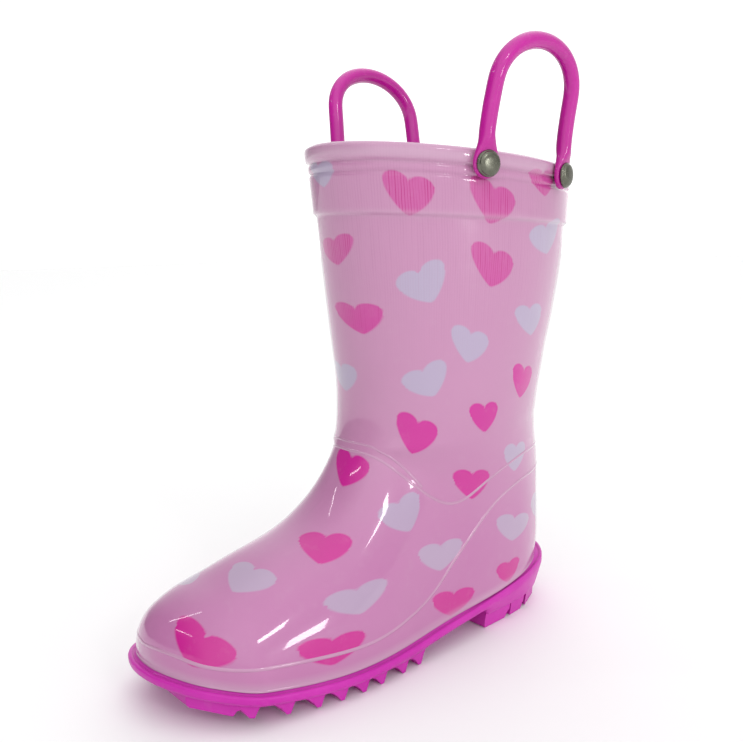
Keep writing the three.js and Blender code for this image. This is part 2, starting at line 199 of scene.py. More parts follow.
# ---- The boot's skin as a stack of level rings ----
def level_line(level, steps):
    """One side of a level line, as y and half width at equal distances from front to back.

    The foot's dome and the leg's column join by a high power, with a fillet at the instep."""
    leg = float(leg_front(level))
    foot = float(crest_place(level))
    near = max(BLEND_LENGTH - abs(leg - foot), 0) / BLEND_LENGTH
    fillet = near * near * BLEND_LENGTH / 4
    front = min(leg, foot) - fillet
    back = float(leg_back(level))
    leg_middle = (leg - fillet + back) / 2
    leg_radius = (back - leg + fillet) / 2
    y = front + (back - front) * (1 - np.cos(np.linspace(0, math.pi, 500))) / 2
    column = leg_half_width(level) * np.sqrt(np.maximum(0, 1 - ((y - leg_middle) / leg_radius) ** 2))
    heel_shift = (HEEL_END - back) * np.clip((y - 40) / (back - 40), 0, 1)
    crest = crest_height(y + fillet)
    dome = np.maximum(0, 1 - (level / np.maximum(crest, 1e-6)) ** DOME_POWER) ** (1 / DOME_POWER)
    foot_width = sole_half_width(y + fillet + heel_shift) * np.where(crest > level, dome, 0)
    width = (column**JOIN_POWER + foot_width**JOIN_POWER) ** (1 / JOIN_POWER)
    width[0] = width[-1] = 0
    line = np.stack([y, width], 1)
    run = run_along(line)
    return resample(line, run, np.linspace(0, run[-1], steps + 1)).T


def skin_grid(levels, steps):
    """Points of the skin, one row per level: front, +X side, back, then the -X side."""
    rows = []
    for level in levels:
        y, width = level_line(level, steps)
        y = np.concatenate([y, y[-2:0:-1]])
        x = np.concatenate([width, -width[-2:0:-1]])
        x += middle(y) * (1 - level / TOP_LEVEL)
        rows.append(np.stack([x, y, skin_height(level, y)], 1))
    return np.array(rows)


def grid_normals(points):
    """Unit normals of a grid, outwards when its levels run up."""
    round_way = np.roll(points, -1, 1) - np.roll(points, 1, 1)
    up_way = np.gradient(points, axis=0)
    normal = np.cross(round_way, up_way)
    return normal / np.linalg.norm(normal, axis=2, keepdims=True)


def even_levels(start, end, longest):
    """Levels close enough together that neither the wall nor the instep line jumps."""
    levels = [start]
    while levels[-1] < end:
        here = levels[-1]
        slide = abs(float(crest_place(here + 0.5) - crest_place(here))) * 2
        levels.append(here + longest / max(1, slide))
    levels[-1] = end
    return np.array(levels)


# ---- Mesh helpers ----
def add_object(name, data):
    made = bpy.data.objects.new(name, data)
    bpy.context.scene.collection.objects.link(made)
    return made


def new_piece(name, points, faces, smooth=True):
    """A mesh object at the origin, from points in millimetres."""
    mesh = bpy.data.meshes.new(name)
    mesh.from_pydata([tuple(p) for p in np.asarray(points, float) * MM], [], faces)
    mesh.polygons.foreach_set("use_smooth", [smooth] * len(mesh.polygons))
    mesh.update()
    return add_object(name, mesh)


def ring_faces(rows, count, closed=True):
    """Quads between rows of points; each row is a ring of the same length."""
    faces = []
    for r in range(rows - 1):
        for i in range(count if closed else count - 1):
            a, b = r * count + i, r * count + (i + 1) % count
            faces.append((a, b, b + count, a + count))
    return faces


def strip_cap(start, count, flip):
    """Closes a ring with strips from one side to the other."""
    faces = []
    for i in range(count // 2):
        corners = [start + k % count for k in (i, count - i, count - i - 1, i + 1)]
        corners = list(dict.fromkeys(corners))
        if len(corners) > 2:
            faces.append(tuple(reversed(corners)) if flip else tuple(corners))
    return faces


def fix_normals(piece):
    mesh = bmesh.new()
    mesh.from_mesh(piece.data)
    bmesh.ops.remove_doubles(mesh, verts=mesh.verts, dist=1e-7)
    bmesh.ops.recalc_face_normals(mesh, faces=mesh.faces)
    mesh.to_mesh(piece.data)
    mesh.free()


def set_values(piece, name, values):
    attribute = piece.data.attributes.new(name, "FLOAT", "POINT")
    attribute.data.foreach_set("value", np.asarray(values, np.float32))


def add_material(piece, material):
    piece.data.materials.clear()
    piece.data.materials.append(material)


# ---- The heart print ----
# Each print: x, y, z of its centre, width, height, tilt in degrees (positive leans to the heel).
PINK_HEARTS = [
    (28, -5, 177.5, 19, 17, -14), (40, 25, 174.5, 22, 17, -20), (41, 51, 182.5, 17, 12, 0),
    (0, -16, 158.5, 20, 13, 8), (38, 26, 151.5, 21, 17, -20), (7, -12, 133.5, 23, 14, 0),
    (34, 47, 105.5, 16, 16, -14), (33, 27, 93.5, 14, 15, -2), (23, 1, 88.5, 17, 17, -24),
    (5, -18, 75.5, 18, 16, -12), (28, 26, 65.5, 19, 15, -10), (15, -38, 51.5, 20, 15, -12),
    (10, -86, 27.5, 26, 15, -26), (30, -45, 20.5, 28, 12, -5), (27, 49, 22.5, 16, 11, 0),
    (28, 15, 19.5, 25, 12, -9), (-22, -42, 46.5, 20, 14, 0),
]
PALE_HEARTS = [
    (-3, -20, 185.5, 16, 11, 0), (28, 2, 146.5, 19, 17, 24), (37, 57, 161.5, 24, 15, 12),
    (36, 48, 130.5, 19, 15, 0), (34, 18, 122.5, 17, 15, -20), (26, 4, 110.5, 18, 15, 24),
    (-5, -10, 109.5, 20, 13, 0), (28, 50, 72.5, 17, 15, -6), (24, -7, 59.5, 19, 15, 16),
    (5, -63, 43.5, 21, 15, -14), (28, -32, 34.5, 27, 11.5, 3), (27, 9, 40.5, 24, 13, -4),
    (26, 52, 41.5, 25, 13, -12), (-22, -72, 38.5, 16, 13, 0),
]
# The rest of the print, over the back and the inner side, in the same staggered rows.
BACK_ROWS = [180, 157, 134, 112, 91, 70, 48]
FAR_OUTSIDE = -20.0


def heart_depth(across, up):
    """Depth inside a plump heart 2 wide and 2 high, in half sizes."""

    def inside(across, up):
        u = np.minimum(np.abs(across), 0.9999)
        top = 0.55 + 0.45 * np.sqrt(1 - (2 * u - 1) ** 2)
        foot = 0.55 - 1.55 * (1 - u**1.2) ** 0.58
        return np.minimum(np.minimum(top - up, up - foot), 3 * (1 - np.abs(across)))

    step = 0.02
    value = inside(across, up)
    slope_across = (inside(across + step, up) - inside(across - step, up)) / (2 * step)
    slope_up = (inside(across, up + step) - inside(across, up - step)) / (2 * step)
    return value / np.maximum(np.hypot(slope_across, slope_up), 0.5)


def print_fields(points, normals):
    """Signed depth in millimetres inside the nearest pink and pale hearts."""
    pink = np.full(len(points), FAR_OUTSIDE)
    pale = np.full(len(points), FAR_OUTSIDE)

    def stamp(field, centre, width, height, tilt, lean=0):
        nearest = int(np.argmin(((points - centre) ** 2).sum(1)))
        at, normal = points[nearest], normals[nearest]
        across = np.cross((0, 0, 1), normal)
        across /= np.linalg.norm(across)
        up = np.cross(normal, across)
        turn = math.radians(tilt)
        side = math.cos(turn) * across + math.sin(turn) * up
        top = -math.sin(turn) * across + math.cos(turn) * up
        near = (np.abs(points - at).max(1) < 26) & (normals @ normal > 0.1)
        offset = points[near] - at
        rise = 2 * offset @ top / height
        depth = heart_depth(2 * offset @ side / width + lean * rise, rise)
        field[near] = np.maximum(field[near], depth * min(width, height) / 2)

    # The knit is pulled wide over the leg, so the hearts there are low and their tips lean.
    for field, hearts in ((pink, PINK_HEARTS), (pale, PALE_HEARTS)):
        for x, y, z, width, height, tilt in hearts:
            on_leg = z > 60
            low = height * (0.84 if on_leg else 0.9)
            stamp(field, (x, y, z), width, low, tilt, 0.17 if on_leg and tilt <= 0 else 0)
    for row, z in enumerate(BACK_ROWS):
        for k in range(6):
            turn = 12 + 40 * k + 20 * (row % 2)
            angle = math.radians(turn)
            spot = (44 * math.cos(angle), 40 + 56 * math.sin(angle), z + 3 * math.sin(5 * k + row))
            if turn > 236 or (spot[0] > 16 and spot[1] < 72):
                continue
            field = pink if (k + row // 2) % 2 else pale
            stamp(field, spot, 19, 15, 20 * math.sin(7.3 * k + 3.1 * row))
    for k, (x, y) in enumerate([(-33, -70), (-38, -45), (-33, -18), (-28, 12), (-27, 42), (-24, 70)]):
        stamp(pale if k % 2 else pink, (x, y, 24 + 5 * (k % 2)), 24, 12, 8 * (-1) ** k)
    return pink, pale


def set_print(piece, pink, pale):
    set_values(piece, "heart_pink", pink)
    set_values(piece, "heart_pale", pale)


# ---- Camera ----
def make_camera():
    turn, rise, roll = math.radians(48.0), math.radians(10.8), math.radians(-0.85)
    distance = 0.356
    back = Vector((math.sin(turn) * math.cos(rise), -math.cos(turn) * math.cos(rise), math.sin(rise)))
    centre = (cad_low + cad_high) / 2
    target = centre + Vector((0.0108, 0.0158, -0.0171))
    right = (-back).cross(Vector((0, 0, 1))).normalized()
    up = right.cross(-back)
    right, up = math.cos(roll) * right + math.sin(roll) * up, math.cos(roll) * up - math.sin(roll) * right
    data = bpy.data.cameras.new("camera")
    data.lens, data.sensor_width = 43.54, 36
    data.shift_x, data.shift_y = -0.0714, 0.0358
    data.clip_start = 0.01
    camera = add_object("camera", data)
    place = target + back * distance
    camera.matrix_world = Matrix((
        (right.x, up.x, back.x, place.x),
        (right.y, up.y, back.y, place.y),
        (right.z, up.z, back.z, place.z),
        (0, 0, 0, 1),
    ))
    bpy.context.scene.camera = camera


# ---- Shader helpers ----
ROOM_LIGHT = 1.2


def rgb(red, green, blue, gloss=0.03):
    """The base colour that reads as a display colour, 0 to 255, in this bright room."""
    linear = [((v / 255 + 0.055) / 1.055) ** 2.4 for v in (red, green, blue)]
    return tuple(max(0.004, (v - gloss) / ROOM_LIGHT) for v in linear) + (1,)


def glossy(red, green, blue):
    """The same for the clear shell, whose gloss adds more white."""
    return rgb(red, green, blue, 0.065)


class Nodes:
    """Short calls that add nodes to one tree."""

    def __init__(self, tree):
        self.tree, self.nodes, self.links = tree, tree.nodes, tree.links

    def add(self, kind, **settings):
        node = self.nodes.new(kind)
        for key, value in settings.items():
            if hasattr(node, key):
                setattr(node, key, value)
            else:
                self.feed(node.inputs[key.replace("_", " ")], value)
        return node

    def feed(self, socket, value):
        if isinstance(value, bpy.types.NodeSocket):
            self.links.new(value, socket)
        else:
            socket.default_value = value

    def feed_all(self, node, *values):
        for socket, value in zip(node.inputs, values):
            self.feed(socket, value)
        return node.outputs[0]

    def math(self, operation, *values):
        return self.feed_all(self.add("ShaderNodeMath", operation=operation), *values)

    def ramp(self, value, low, high, out_low=0.0, out_high=1.0):
        node = self.add("ShaderNodeMapRange", interpolation_type="SMOOTHSTEP")
        return self.feed_all(node, value, low, high, out_low, out_high)

    def mix(self, share, first, second):
        node = self.add("ShaderNodeMix", data_type="RGBA")
        for index, value in ((0, share), (6, first), (7, second)):
            self.feed(node.inputs[index], value)
        return node.outputs[2]

    def noise(self, vector, scale, detail=2.0, roughness=0.5):
        node = self.add("ShaderNodeTexNoise", Scale=scale, Detail=detail, Roughness=roughness)
        self.feed(node.inputs["Vector"], vector)
        return node.outputs["Fac"]

    def stretched(self, vector, x, y, z):
        return self.add("ShaderNodeMapping", Vector=vector, Scale=(x, y, z)).outputs[0]


class Shader(Nodes):
    """A material with its Principled BSDF."""

    def __init__(self, name, **settings):
        self.material = bpy.data.materials.new(name)
        self.material.use_nodes = True
        super().__init__(self.material.node_tree)
        self.bsdf = self.nodes["Principled BSDF"]
        for key, value in settings.items():
            self.set(key.replace("_", " "), value)

    def set(self, title, value):
        self.feed(self.bsdf.inputs[title], value)

    def place(self):
        return self.add("ShaderNodeTexCoord").outputs["Object"]

    def value(self, name):
        return self.add("ShaderNodeAttribute", attribute_name=name).outputs["Fac"]

    def bump(self, height, distance, strength):
        node = self.add("ShaderNodeBump", Strength=strength, Distance=distance, Height=height)
        self.set("Normal", node.outputs[0])

    def group(self, tree, **values):
        return self.add("ShaderNodeGroup", node_tree=tree, **values)


def new_group(name, inputs, outputs):
    tree = bpy.data.node_groups.new(name, "ShaderNodeTree")
    for title, kind, value in inputs:
        socket = tree.interface.new_socket(title, in_out="INPUT", socket_type=kind)
        if value is not None:
            socket.default_value = value
    for title, kind in outputs:
        tree.interface.new_socket(title, in_out="OUTPUT", socket_type=kind)
    n = Nodes(tree)
    return n, n.add("NodeGroupInput"), n.add("NodeGroupOutput")


def knit_ribs_group():
    """Fine upright ribs of a stretched knit: a colour share and a height, both from 0 to 1."""
    n, given, out = new_group(
        "knit_ribs",
        [("Vector", "NodeSocketVector", None), ("Ribs per metre", "NodeSocketFloat", 900.0),
         ("Courses per metre", "NodeSocketFloat", 700.0)],
        [("Streak", "NodeSocketFloat"), ("Height", "NodeSocketFloat")],
    )
    place = given.outputs["Vector"]
    parts = n.add("ShaderNodeSeparateXYZ", Vector=place)

    def wave(along, rate):
        turns = n.math("MULTIPLY", n.math("MULTIPLY", along, rate), 2 * math.pi)
        return n.math("ADD", n.math("MULTIPLY", n.math("SINE", turns), 0.5), 0.5)

    around = n.math("ADD", parts.outputs[0], n.math("MULTIPLY", n.noise(place, 60.0), 0.0012))
    rib = wave(around, given.outputs["Ribs per metre"])
    row = wave(parts.outputs[1], given.outputs["Courses per metre"])
    long_marks = n.noise(n.stretched(place, 900, 45, 1), 1.0)
    n.feed(out.inputs["Streak"], n.math("MULTIPLY", rib, long_marks))
    height = n.math("ADD", n.math("MULTIPLY", rib, 0.75), n.math("MULTIPLY", row, 0.25))
    n.feed(out.inputs["Height"], height)
    return n.tree


def speckle_group():
    """Faint dust and scuffs: a mask from 0 to 1 and a roughness to add."""
    n, given, out = new_group(
        "dust_and_scuffs",
        [("Vector", "NodeSocketVector", None), ("Scale", "NodeSocketFloat", 300.0),
         ("Amount", "NodeSocketFloat", 0.5)],
        [("Mask", "NodeSocketFloat"), ("Roughness", "NodeSocketFloat")],
    )
    specks = n.noise(given.outputs["Vector"], given.outputs["Scale"], 6.0, 0.65)
    sharp = n.add("ShaderNodeMapRange", Value=specks, From_Min=0.55, From_Max=0.85).outputs[0]
    mask = n.math("MULTIPLY", sharp, given.outputs["Amount"])
    n.feed(out.inputs["Mask"], mask)
    n.feed(out.inputs["Roughness"], n.math("MULTIPLY", mask, 0.25))
    return n.tree


# ---- Materials ----
def shell_material(ribs, dust):
    """Clear glossy shell with the sock's print seen through it."""
    s = Shader(
        "clear_shell_over_print", IOR=1.5, Specular_IOR_Level=0.15,
        Coat_Weight=1.0, Coat_Roughness=0.04, Coat_IOR=1.5,
    )
    uv = s.add("ShaderNodeUVMap", uv_map="surface").outputs[0]
    knit = s.group(ribs, Vector=uv)
    height = s.add("ShaderNodeSeparateXYZ", Vector=s.place()).outputs[2]
    stretched_part = s.ramp(height, 0.105, 0.165)
    low_part = s.ramp(height, 0.11, 0.03)
    streak = s.math("MULTIPLY", s.ramp(knit.outputs["Streak"], 0.3, 0.62), stretched_part)
    cloudy = s.noise(s.place(), 28.0, 3.0)
    ground = s.mix(low_part, glossy(215, 159, 196), glossy(207, 136, 186))
    ground = s.mix(s.math("MULTIPLY", cloudy, 0.35), ground, glossy(220, 170, 203))
    ground = s.mix(s.math("MULTIPLY", streak, 0.3), ground, glossy(200, 145, 180))
    pink = s.mix(low_part, glossy(222, 64, 170), glossy(218, 58, 162))
    pink = s.mix(stretched_part, pink, glossy(218, 112, 178))
    pink = s.mix(s.math("MULTIPLY", streak, 0.85), pink, glossy(204, 60, 148))
    pale = s.mix(low_part, glossy(200, 189, 215), glossy(200, 180, 206))
    pale = s.mix(s.math("MULTIPLY", streak, 0.2), pale, glossy(196, 160, 190))
    in_pink = s.ramp(s.value("heart_pink"), -0.35, 0.45)
    in_pale = s.ramp(s.value("heart_pale"), -0.35, 0.45)
    colour = s.mix(s.math("MULTIPLY", in_pale, 0.9), ground, pale)
    colour = s.mix(s.math("MULTIPLY", in_pink, 0.95), colour, pink)
    colour = s.mix(s.math("MULTIPLY", s.value("clear_edge"), 0.55), colour, glossy(224, 191, 213))
    marks = s.group(dust, Vector=s.place(), Scale=180.0, Amount=0.25)
    colour = s.mix(s.math("MULTIPLY", marks.outputs["Mask"], 0.3), colour, glossy(225, 205, 215))
    s.set("Base Color", colour)
    s.set("Roughness", s.math("ADD", marks.outputs["Roughness"], 0.22))
    ripple = s.noise(s.place(), 26.0)
    fine = s.math("MULTIPLY", s.math("MULTIPLY", knit.outputs["Height"], stretched_part), 0.02)
    s.bump(s.math("ADD", ripple, fine), 0.0016, 0.6)
    return s.material


def bead_material():
    """The thicker moulded lines of the clear shell, paler than the sheet around them."""
    s = Shader("clear_shell_bead", IOR=1.5, Coat_Weight=1.0, Coat_Roughness=0.05, Roughness=0.25)
    cloud = s.noise(s.place(), 60.0, 3.0)
    s.set("Base Color", s.mix(cloud, glossy(204, 148, 186), glossy(219, 171, 203)))
    s.bump(s.noise(s.place(), 300.0, 2.0), 0.0001, 0.4)
    return s.material


def knit_material(ribs):
    """The back of the printed knit, seen inside the boot."""
    s = Shader("printed_knit_inside", Roughness=0.9, Sheen_Weight=0.3, Sheen_Roughness=0.5)
    uv = s.add("ShaderNodeUVMap", uv_map="surface").outputs[0]
    knit = s.group(ribs, Vector=uv, Ribs_per_metre=800.0, Courses_per_metre=800.0)
    ground = s.mix(s.noise(s.place(), 40.0, 3.0), rgb(214, 176, 202), rgb(226, 196, 216))
    in_pink = s.ramp(s.value("heart_pink"), -0.6, 0.6)
    colour = s.mix(s.math("MULTIPLY", in_pink, 0.35), ground, rgb(214, 110, 176))
    # The low rib valleys are painted darker: painted shade in the grooves between the ribs.
    colour = s.mix(s.ramp(knit.outputs["Height"], 0.5, 0.0, 0.0, 0.45), colour, rgb(168, 116, 150))
    s.set("Base Color", colour)
    s.bump(knit.outputs["Height"], 0.0003, 0.6)
    return s.material


def moulded_material(name, colour, deep, roughness, dust, coat, grain=900.0, depth=0.00008):
    """Solid coloured moulded plastic with a fine grain, soft mottling and a little dust."""
    s = Shader(name, IOR=1.5, Specular_IOR_Level=0.25, Coat_Weight=coat, Coat_Roughness=0.08)
    place = s.place()
    mottle = s.noise(place, 35.0, 4.0)
    base = s.mix(s.ramp(mottle, 0.3, 0.75), colour, deep)
    marks = s.group(dust, Vector=place, Scale=260.0, Amount=0.5)
    base = s.mix(s.math("MULTIPLY", marks.outputs["Mask"], 0.18), base, rgb(232, 190, 216))
    s.set("Base Color", base)
    rough = s.math("ADD", s.math("MULTIPLY", s.noise(place, 120.0, 3.0), 0.14), roughness - 0.07)
    s.set("Roughness", s.math("ADD", rough, marks.outputs["Roughness"]))
    s.bump(s.noise(place, grain, 3.0), depth, 0.5)
    return s.material


def nickel_material():
    """Nickel plate: brushed rings of haze, darker towards worn spots."""
    s = Shader("nickel_plate", Metallic=1.0)
    place = s.place()
    haze = s.noise(place, 700.0, 5.0)
    s.set("Base Color", s.mix(haze, rgb(110, 111, 101), rgb(142, 142, 131)))
    s.set("Roughness", s.math("ADD", s.math("MULTIPLY", haze, 0.25), 0.12))
    s.bump(s.noise(place, 2400.0, 2.0), 0.00003, 0.4)
    return s.material


def foam_material():
    s = Shader("closed_cell_foam", Roughness=0.85)
    place = s.place()
    cells = s.add("ShaderNodeTexVoronoi", Scale=1500.0, Vector=place).outputs["Distance"]
    s.set("Base Color", s.mix(cells, rgb(205, 196, 203), rgb(233, 226, 231)))
    s.bump(cells, 0.00025, 0.7)
    return s.material


def weave_material():
    """Plain woven footbed cloth."""
    s = Shader("footbed_weave", Roughness=0.9, Sheen_Weight=0.25, Sheen_Roughness=0.5)
    place = s.add("ShaderNodeSeparateXYZ", Vector=s.place())
    threads = 2 * math.pi * 1400
    warp = s.math("SINE", s.math("MULTIPLY", place.outputs[0], threads))
    weft = s.math("SINE", s.math("MULTIPLY", place.outputs[1], threads))
    cross = s.math("MULTIPLY", warp, weft)
    level = s.math("ADD", s.math("MULTIPLY", cross, 0.5), 0.5)
    s.set("Base Color", s.mix(level, rgb(196, 128, 172), rgb(222, 168, 202)))
    s.bump(level, 0.0003, 0.7)
    return s.material


def board_material():
    s = Shader("insole_fibreboard", Roughness=0.9)
    fibres = s.noise(s.stretched(s.place(), 600, 160, 600), 1.0, 5.0)
    s.set("Base Color", s.mix(fibres, rgb(160, 130, 96), rgb(196, 168, 132)))
    s.bump(fibres, 0.0001, 0.6)
    return s.material


# ---- Shell ----
def cuff_profile(below):
    """How far the cuff stands out from the leg, by distance below the rim."""
    band = CUFF_PROUD * smoothstep(CUFF_HEIGHT + 1.0, CUFF_HEIGHT - 0.4, below)
    roll = (LIP_PROUD - CUFF_PROUD) * np.sqrt(np.maximum(0, 1 - ((below - 2.6) / 2.9) ** 2))
    groove = 0.6 * np.exp(-(((below - LIP_HEIGHT) / 0.65) ** 2))
    second = 0.6 * np.exp(-(((below - SECOND_GROOVE) / 0.6) ** 2))
    edge = 0.9 * (1 - np.sqrt(np.maximum(0, 1 - np.clip((0.9 - below) / 0.9, 0, 1) ** 2)))
    return band + roll - groove - second - edge


def surface_map(piece, count, heights):
    """A UV map in metres: distance round from the front, and height, one height for each ring."""
    layer = piece.data.uv_layers.new(name="surface")
    loops = np.empty(len(piece.data.loops), int)
    piece.data.loops.foreach_get("vertex_index", loops)
    row, column = np.divmod(loops, count)
    starts = np.array([p.loop_start for p in piece.data.polygons])
    totals = np.array([p.loop_total for p in piece.data.polygons])
    owner = np.repeat(np.arange(len(starts)), totals)
    widest = np.maximum.reduceat(column, starts)
    # A face that closes the ring ends at the full way round, not back at 0.
    closing = (widest[owner] == count - 1) & (column == 0)
    column = np.where(closing, count, column)
    around = column / (count / 2) * HALF_ROUND
    uv = np.stack([around * MM, heights[row] * MM], 1)
    layer.data.foreach_set("uv", uv.ravel())


def make_shell(material):
    steps = 128
    body = even_levels(0, TOP_LEVEL - CUFF_HEIGHT - 2, 1.25)
    cuff = np.linspace(TOP_LEVEL - CUFF_HEIGHT - 1.6, TOP_LEVEL, 58)
    levels = np.concatenate([body, cuff])
    points = skin_grid(levels, steps)
    normals = grid_normals(points)
    below = TOP_LEVEL - levels
    outer = points + normals * cuff_profile(below)[:, None, None]
    inner_levels = np.concatenate([[TOP_LEVEL], np.linspace(TOP_LEVEL - 1, 3, 46)])
    # These levels run down, so their normals point into the wall.
    inner = skin_grid(inner_levels, steps)
    inner += SHELL_WALL * grid_normals(inner)
    lips = [outer[-1] + (inner[0] - outer[-1]) * share + np.array([0, 0, 0.35]) for share in (0.12, 0.88)]
    rows = np.concatenate([outer, lips, inner])
    count = 2 * steps
    faces = ring_faces(len(rows), count)
    faces += strip_cap(0, count, True)
    faces += strip_cap((len(rows) - 1) * count, count, False)
    shell = new_piece("upper_shell_moulded", rows.reshape(-1, 3), faces)
    heights = np.concatenate([levels, [TOP_LEVEL] * 2, inner_levels])
    surface_map(shell, count, heights)
    flat, flat_normals = outer.reshape(-1, 3), normals.reshape(-1, 3)
    pink, pale = print_fields(flat, flat_normals)
    extra = (len(rows) - len(outer)) * count
    lip = np.clip(1.2 - np.abs(below - 2.8) / 3.2, 0, 1)
    cuff_foot = 0.6 * np.exp(-(((below - CUFF_HEIGHT) / 1.2) ** 2))
    foxing = np.exp(-(((levels - 1.0) / 1.6) ** 2))
    edge = np.repeat(np.clip(lip + cuff_foot + foxing, 0, 1), count)
    set_print(shell, *(np.concatenate([field, np.full(extra, FAR_OUTSIDE)]) for field in (pink, pale)))
    set_values(shell, "clear_edge", np.concatenate([edge, np.ones(extra)]))
    add_material(shell, material)
    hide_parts("upper_shell")
    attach(shell, "boot")
    return flat, flat_normals


# ---- Studio ----
def make_camera_and_floor():
    make_camera()
    bpy.ops.mesh.primitive_plane_add(size=8, location=(0, 0, -0.0002))
    floor = bpy.context.object
    floor.name = "studio_floor"
    s = Shader("studio_floor", Roughness=0.7, Base_Color=(0.93, 0.93, 0.93, 1))
    floor.data.materials.append(s.material)


def area_light(name, place, aim, size, power):
    data = bpy.data.lights.new(name, "AREA")
    data.shape, data.size, data.size_y, data.energy = "RECTANGLE", size[0], size[1], power
    light = add_object(name, data)
    light.location = place
    light.rotation_euler = (Vector(aim) - Vector(place)).to_track_quat("-Z", "Y").to_euler()


def window_light(name, turn, rise, size, power):
    """A soft box 2.4 m from the ankle, in a direction given in degrees."""
    turn, rise = math.radians(turn), math.radians(rise)
    ankle = Vector((0.02, -0.03, 0.05))
    way = Vector((math.sin(turn) * math.cos(rise), -math.cos(turn) * math.cos(rise), math.sin(rise)))
    area_light(name, ankle + way * 2.4, ankle, size, power)


def make_lights():
    """An even white room, two soft windows on the outer side, and two strips over the toe."""
    world = bpy.data.worlds.new("soft_studio")
    bpy.context.scene.world = world
    world.use_nodes = True
    n = Nodes(world.node_tree)
    background = n.nodes["Background"]
    background.inputs[0].default_value = (1, 1, 1, 1)
    towards = n.add("ShaderNodeVectorMath", operation="DOT_PRODUCT")
    n.feed(towards.inputs[0], n.add("ShaderNodeTexCoord").outputs["Generated"])
    # The room is darker on the toe's inner side, and a little darker behind the heel.
    inner_direction = (-0.669, -0.743, 0)
    towards.inputs[1].default_value = inner_direction
    inner_side, heel_side = (
        n.feed_all(n.add("ShaderNodeMapRange"), towards.outputs["Value"], *falloff)
        for falloff in ((0.25, 0.8, 1.39, 0.15), (-0.3, -0.9, 1, 0.5))
    )
    n.feed(background.inputs[1], n.math("MULTIPLY", inner_side, heel_side))
    window_light("high_window", 86, 29.5, (0.38, 0.2), 4.1)
    window_light("low_window", 100, 5.5, (0.32, 0.26), 4.1)
    window_light("toe_strip", -15, 33.5, (0.9, 0.05), 1.6)
    window_light("instep_strip", -52, 45, (0.045, 1.0), 1.6)
    bpy.context.scene.view_settings.view_transform = "Standard"


# ---- Geometry Nodes helpers ----
def nodes_tree(name, inputs):
    """A Geometry Nodes tree with its named inputs, and its end: Realize Instances, Set Material."""
    tree = bpy.data.node_groups.new(name, "GeometryNodeTree")
    tree.interface.new_socket("Geometry", in_out="INPUT", socket_type="NodeSocketGeometry")
    for title, kind, value in inputs + [("Finish", "NodeSocketMaterial", None)]:
        socket = tree.interface.new_socket(title, in_out="INPUT", socket_type=kind)
        if value is not None:
            socket.default_value = value
    tree.interface.new_socket("Geometry", in_out="OUTPUT", socket_type="NodeSocketGeometry")
    n = Nodes(tree)
    given, realize = n.add("NodeGroupInput"), n.add("GeometryNodeRealizeInstances")
    finish = n.add("GeometryNodeSetMaterial", Geometry=realize.outputs[0], Material=given.outputs["Finish"])
    n.feed(n.add("NodeGroupOutput").inputs[0], finish.outputs[0])
    return n, given, realize.inputs[0]


def scatter_tree(name):
    """Puts a copy of one small piece on each point, its Z axis turned to the point's direction."""
    n, given, realize = nodes_tree(
        name, [("Piece", "NodeSocketObject", None), ("Size", "NodeSocketFloat", 1.0)]
    )

    def attribute(title):
        node = n.add("GeometryNodeInputNamedAttribute", data_type="FLOAT_VECTOR", Name=title)
        return node.outputs["Attribute"]

    points = n.add("GeometryNodeMeshToPoints", Mesh=given.outputs["Geometry"])
    source = n.add("GeometryNodeObjectInfo", Object=given.outputs["Piece"], As_Instance=True)
    turn = n.add("FunctionNodeAlignRotationToVector", axis="Z", Vector=attribute("direction"))
    scale = n.add("ShaderNodeVectorMath", operation="SCALE", Scale=given.outputs["Size"])
    n.feed(scale.inputs[0], attribute("size"))
    copies = n.add(
        "GeometryNodeInstanceOnPoints", Points=points.outputs[0], Instance=source.outputs["Geometry"],
        Rotation=turn.outputs[0], Scale=scale.outputs[0],
    )
    n.feed(realize, copies.outputs[0])
    return n.tree


def cord_tree(name):
    """A round bead along a line."""
    n, given, realize = nodes_tree(
        name, [("Radius", "NodeSocketFloat", 0.0006), ("Sides", "NodeSocketInt", 10)]
    )
    curve = n.add("GeometryNodeMeshToCurve", Mesh=given.outputs["Geometry"])
    circle = n.add(
        "GeometryNodeCurvePrimitiveCircle", Radius=given.outputs["Radius"], Resolution=given.outputs["Sides"]
    )
    sweep = n.add("GeometryNodeCurveToMesh", Curve=curve.outputs[0], Fill_Caps=True)
    n.feed(sweep.inputs["Profile Curve"], circle.outputs[0])
    n.feed(realize, n.add("GeometryNodeSetShadeSmooth", Geometry=sweep.outputs[0]).outputs[0])
    return n.tree


def grow(name, base, tree, **values):
    """Runs a tree on a base object and returns its result as a plain mesh object."""
    modifier = base.modifiers.new("grow", "NODES")
    modifier.node_group = tree
    for item in tree.interface.items_tree:
        if item.in_out == "INPUT" and item.name in values:
            modifier[item.identifier] = values[item.name]
    graph = bpy.context.evaluated_depsgraph_get()
    mesh = bpy.data.meshes.new_from_object(base.evaluated_get(graph))
    mesh.name = name
    bpy.data.objects.remove(base)
    return add_object(name, mesh)


def point_cloud(name, points, directions, sizes):
    """Loose points that say how scatter_tree turns and sizes each copy."""
    base = new_piece(name, points, [])
    for title, values in (("direction", directions), ("size", sizes)):
        attribute = base.data.attributes.new(title, "FLOAT_VECTOR", "POINT")
        attribute.data.foreach_set("vector", np.asarray(values, np.float32).ravel())
    return base


def line_mesh(name, points, closed):
    count = len(points)
    edges = [(i, (i + 1) % count) for i in range(count if closed else count - 1)]
    mesh = bpy.data.meshes.new(name)
    mesh.from_pydata([tuple(p) for p in np.asarray(points) * MM], edges, [])
    return add_object(name, mesh)


def scatter(name, source, points, directions, sizes, material):
    """Copies of one small piece at points, as one piece. The source is used up."""
    base = point_cloud(name + "_places", points, directions, sizes)
    piece = grow(name, base, scatter_tree(name + "_copies"), Piece=source, Size=1.0, Finish=material)
    bpy.data.objects.remove(source)
    return piece


